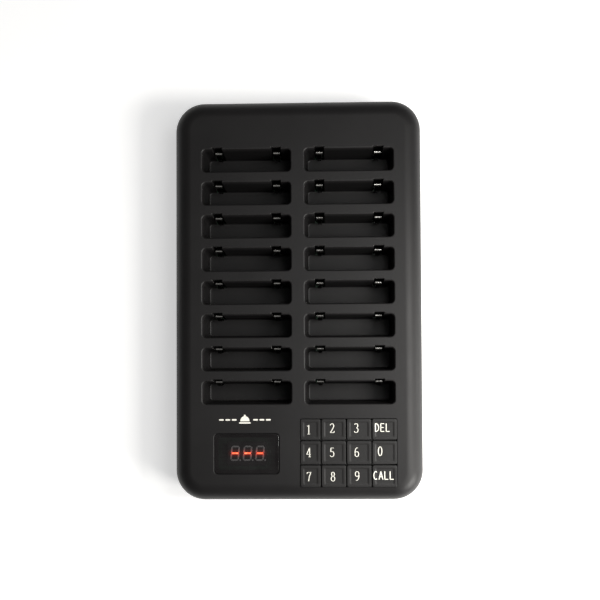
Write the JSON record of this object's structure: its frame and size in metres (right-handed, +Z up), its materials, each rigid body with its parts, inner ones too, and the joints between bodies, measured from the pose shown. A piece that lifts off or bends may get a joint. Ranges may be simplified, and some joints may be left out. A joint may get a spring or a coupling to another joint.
{
  "type": "guest pager charging base with keypad",
  "caption": "Flat rounded black base with rows of charging slots for guest pagers, a smoked digit display and a number keypad for calling them.",
  "frame": {"origin": "on the table, under the middle of the body", "axes": "+X to the user's right, +Y away from the user and the keypad, +Z up"},
  "size_m": [0.168, 0.272, 0.0464],
  "materials": {
    "housing": "fine texture, satin",
    "tray": "fine texture, satin",
    "key_plastic": "fine texture, satin",
    "legend_print": "pad printed, satin",
    "smoked_lens": "polished",
    "led_body": "matt face",
    "led_segment": "diffusing resin, unlit",
    "led_lit": "emissive red",
    "contact_plating": "bright nickel plate",
    "board": "solder mask",
    "part_black": "moulded epoxy",
    "part_metal": "tin plate",
    "silicone": "translucent silicone",
    "cable_grey": "soft PVC",
    "aerial_wire": "enamelled",
    "screw_steel": "zinc plate",
    "foot_rubber": "matt",
    "socket_black": "moulded"
  },
  "bodies": {
    "base": {"top_housing": "housing", "bottom_housing": "tray", "display_window": "smoked_lens", "led_display": "led_body", "keypad_mat": "silicone", "control_board": "board", "control_board_screws": "screw_steel", "microcontroller": "part_black", "charging_board": "board", "charging_board_screws": "screw_steel", "reservoir_capacitors": "part_metal", "power_inductor": "part_black", "charge_control_chip": "part_black", "radio_module": "part_metal", "aerial": "aerial_wire", "sounder": "part_black", "link_cable": "cable_grey", "power_inlet": "socket_black", "switch_frame": "socket_black", "case_screws": "screw_steel", "foot_front_left": "foot_rubber", "foot_front_right": "foot_rubber", "foot_rear_left": "foot_rubber", "foot_rear_right": "foot_rubber"},
    "rocker": {"switch_rocker": "socket_black"},
    "key_1": {"key_1": "key_plastic"},
    "key_2": {"key_2": "key_plastic"},
    "key_3": {"key_3": "key_plastic"},
    "key_del": {"key_del": "key_plastic"},
    "key_4": {"key_4": "key_plastic"},
    "key_5": {"key_5": "key_plastic"},
    "key_6": {"key_6": "key_plastic"},
    "key_0": {"key_0": "key_plastic"},
    "key_7": {"key_7": "key_plastic"},
    "key_8": {"key_8": "key_plastic"},
    "key_9": {"key_9": "key_plastic"},
    "key_call": {"key_call": "key_plastic"},
    "contacts_left_1": {"contacts_left_1": "contact_plating"},
    "contacts_left_2": {"contacts_left_2": "contact_plating"},
    "contacts_left_3": {"contacts_left_3": "contact_plating"},
    "contacts_left_4": {"contacts_left_4": "contact_plating"},
    "contacts_left_5": {"contacts_left_5": "contact_plating"},
    "contacts_left_6": {"contacts_left_6": "contact_plating"},
    "contacts_left_7": {"contacts_left_7": "contact_plating"},
    "contacts_left_8": {"contacts_left_8": "contact_plating"},
    "contacts_right_1": {"contacts_right_1": "contact_plating"},
    "contacts_right_2": {"contacts_right_2": "contact_plating"},
    "contacts_right_3": {"contacts_right_3": "contact_plating"},
    "contacts_right_4": {"contacts_right_4": "contact_plating"},
    "contacts_right_5": {"contacts_right_5": "contact_plating"},
    "contacts_right_6": {"contacts_right_6": "contact_plating"},
    "contacts_right_7": {"contacts_right_7": "contact_plating"},
    "contacts_right_8": {"contacts_right_8": "contact_plating"}
  },
  "joints": [
    {"name": "power_rocker_tip", "type": "hinge", "parent": "base", "child": "rocker", "pos_m": [-0.03, 0.131, 0.0164], "axis": [0, 0, 1], "range_deg": [0, 16]},
    {"name": "key_1_press", "type": "slide", "parent": "base", "child": "key_1", "axis": [0, 0, -1], "range_m": [0, 0.0012], "stiffness_N_per_m": 600, "springref_m": -0.0012},
    {"name": "key_2_press", "type": "slide", "parent": "base", "child": "key_2", "axis": [0, 0, -1], "range_m": [0, 0.0012], "stiffness_N_per_m": 600, "springref_m": -0.0012},
    {"name": "key_3_press", "type": "slide", "parent": "base", "child": "key_3", "axis": [0, 0, -1], "range_m": [0, 0.0012], "stiffness_N_per_m": 600, "springref_m": -0.0012},
    {"name": "key_del_press", "type": "slide", "parent": "base", "child": "key_del", "axis": [0, 0, -1], "range_m": [0, 0.0012], "stiffness_N_per_m": 600, "springref_m": -0.0012},
    {"name": "key_4_press", "type": "slide", "parent": "base", "child": "key_4", "axis": [0, 0, -1], "range_m": [0, 0.0012], "stiffness_N_per_m": 600, "springref_m": -0.0012},
    {"name": "key_5_press", "type": "slide", "parent": "base", "child": "key_5", "axis": [0, 0, -1], "range_m": [0, 0.0012], "stiffness_N_per_m": 600, "springref_m": -0.0012},
    {"name": "key_6_press", "type": "slide", "parent": "base", "child": "key_6", "axis": [0, 0, -1], "range_m": [0, 0.0012], "stiffness_N_per_m": 600, "springref_m": -0.0012},
    {"name": "key_0_press", "type": "slide", "parent": "base", "child": "key_0", "axis": [0, 0, -1], "range_m": [0, 0.0012], "stiffness_N_per_m": 600, "springref_m": -0.0012},
    {"name": "key_7_press", "type": "slide", "parent": "base", "child": "key_7", "axis": [0, 0, -1], "range_m": [0, 0.0012], "stiffness_N_per_m": 600, "springref_m": -0.0012},
    {"name": "key_8_press", "type": "slide", "parent": "base", "child": "key_8", "axis": [0, 0, -1], "range_m": [0, 0.0012], "stiffness_N_per_m": 600, "springref_m": -0.0012},
    {"name": "key_9_press", "type": "slide", "parent": "base", "child": "key_9", "axis": [0, 0, -1], "range_m": [0, 0.0012], "stiffness_N_per_m": 600, "springref_m": -0.0012},
    {"name": "key_call_press", "type": "slide", "parent": "base", "child": "key_call", "axis": [0, 0, -1], "range_m": [0, 0.0012], "stiffness_N_per_m": 600, "springref_m": -0.0012},
    {"name": "contacts_left_1_flex", "type": "hinge", "parent": "base", "child": "contacts_left_1", "pos_m": [-0.0347, 0.1028, 0.0102], "axis": [-1, 0, 0], "range_deg": [0, 4], "stiffness_Nm_per_rad": 0.36, "springref_deg": -1.72},
    {"name": "contacts_left_2_flex", "type": "hinge", "parent": "base", "child": "contacts_left_2", "pos_m": [-0.0347, 0.0803, 0.0102], "axis": [-1, 0, 0], "range_deg": [0, 4], "stiffness_Nm_per_rad": 0.36, "springref_deg": -1.72},
    {"name": "contacts_left_3_flex", "type": "hinge", "parent": "base", "child": "contacts_left_3", "pos_m": [-0.0347, 0.0578, 0.0102], "axis": [-1, 0, 0], "range_deg": [0, 4], "stiffness_Nm_per_rad": 0.36, "springref_deg": -1.72},
    {"name": "contacts_left_4_flex", "type": "hinge", "parent": "base", "child": "contacts_left_4", "pos_m": [-0.0347, 0.0353, 0.0102], "axis": [-1, 0, 0], "range_deg": [0, 4], "stiffness_Nm_per_rad": 0.36, "springref_deg": -1.72},
    {"name": "contacts_left_5_flex", "type": "hinge", "parent": "base", "child": "contacts_left_5", "pos_m": [-0.0347, 0.0128, 0.0102], "axis": [-1, 0, 0], "range_deg": [0, 4], "stiffness_Nm_per_rad": 0.36, "springref_deg": -1.72},
    {"name": "contacts_left_6_flex", "type": "hinge", "parent": "base", "child": "contacts_left_6", "pos_m": [-0.0347, -0.0097, 0.0102], "axis": [-1, 0, 0], "range_deg": [0, 4], "stiffness_Nm_per_rad": 0.36, "springref_deg": -1.72},
    {"name": "contacts_left_7_flex", "type": "hinge", "parent": "base", "child": "contacts_left_7", "pos_m": [-0.0347, -0.0322, 0.0102], "axis": [-1, 0, 0], "range_deg": [0, 4], "stiffness_Nm_per_rad": 0.36, "springref_deg": -1.72},
    {"name": "contacts_left_8_flex", "type": "hinge", "parent": "base", "child": "contacts_left_8", "pos_m": [-0.0347, -0.0547, 0.0102], "axis": [-1, 0, 0], "range_deg": [0, 4], "stiffness_Nm_per_rad": 0.36, "springref_deg": -1.72},
    {"name": "contacts_right_1_flex", "type": "hinge", "parent": "base", "child": "contacts_right_1", "pos_m": [0.0347, 0.1028, 0.0102], "axis": [-1, 0, 0], "range_deg": [0, 4], "stiffness_Nm_per_rad": 0.36, "springref_deg": -1.72},
    {"name": "contacts_right_2_flex", "type": "hinge", "parent": "base", "child": "contacts_right_2", "pos_m": [0.0347, 0.0803, 0.0102], "axis": [-1, 0, 0], "range_deg": [0, 4], "stiffness_Nm_per_rad": 0.36, "springref_deg": -1.72},
    {"name": "contacts_right_3_flex", "type": "hinge", "parent": "base", "child": "contacts_right_3", "pos_m": [0.0347, 0.0578, 0.0102], "axis": [-1, 0, 0], "range_deg": [0, 4], "stiffness_Nm_per_rad": 0.36, "springref_deg": -1.72},
    {"name": "contacts_right_4_flex", "type": "hinge", "parent": "base", "child": "contacts_right_4", "pos_m": [0.0347, 0.0353, 0.0102], "axis": [-1, 0, 0], "range_deg": [0, 4], "stiffness_Nm_per_rad": 0.36, "springref_deg": -1.72},
    {"name": "contacts_right_5_flex", "type": "hinge", "parent": "base", "child": "contacts_right_5", "pos_m": [0.0347, 0.0128, 0.0102], "axis": [-1, 0, 0], "range_deg": [0, 4], "stiffness_Nm_per_rad": 0.36, "springref_deg": -1.72},
    {"name": "contacts_right_6_flex", "type": "hinge", "parent": "base", "child": "contacts_right_6", "pos_m": [0.0347, -0.0097, 0.0102], "axis": [-1, 0, 0], "range_deg": [0, 4], "stiffness_Nm_per_rad": 0.36, "springref_deg": -1.72},
    {"name": "contacts_right_7_flex", "type": "hinge", "parent": "base", "child": "contacts_right_7", "pos_m": [0.0347, -0.0322, 0.0102], "axis": [-1, 0, 0], "range_deg": [0, 4], "stiffness_Nm_per_rad": 0.36, "springref_deg": -1.72},
    {"name": "contacts_right_8_flex", "type": "hinge", "parent": "base", "child": "contacts_right_8", "pos_m": [0.0347, -0.0547, 0.0102], "axis": [-1, 0, 0], "range_deg": [0, 4], "stiffness_Nm_per_rad": 0.36, "springref_deg": -1.72}
  ]
}
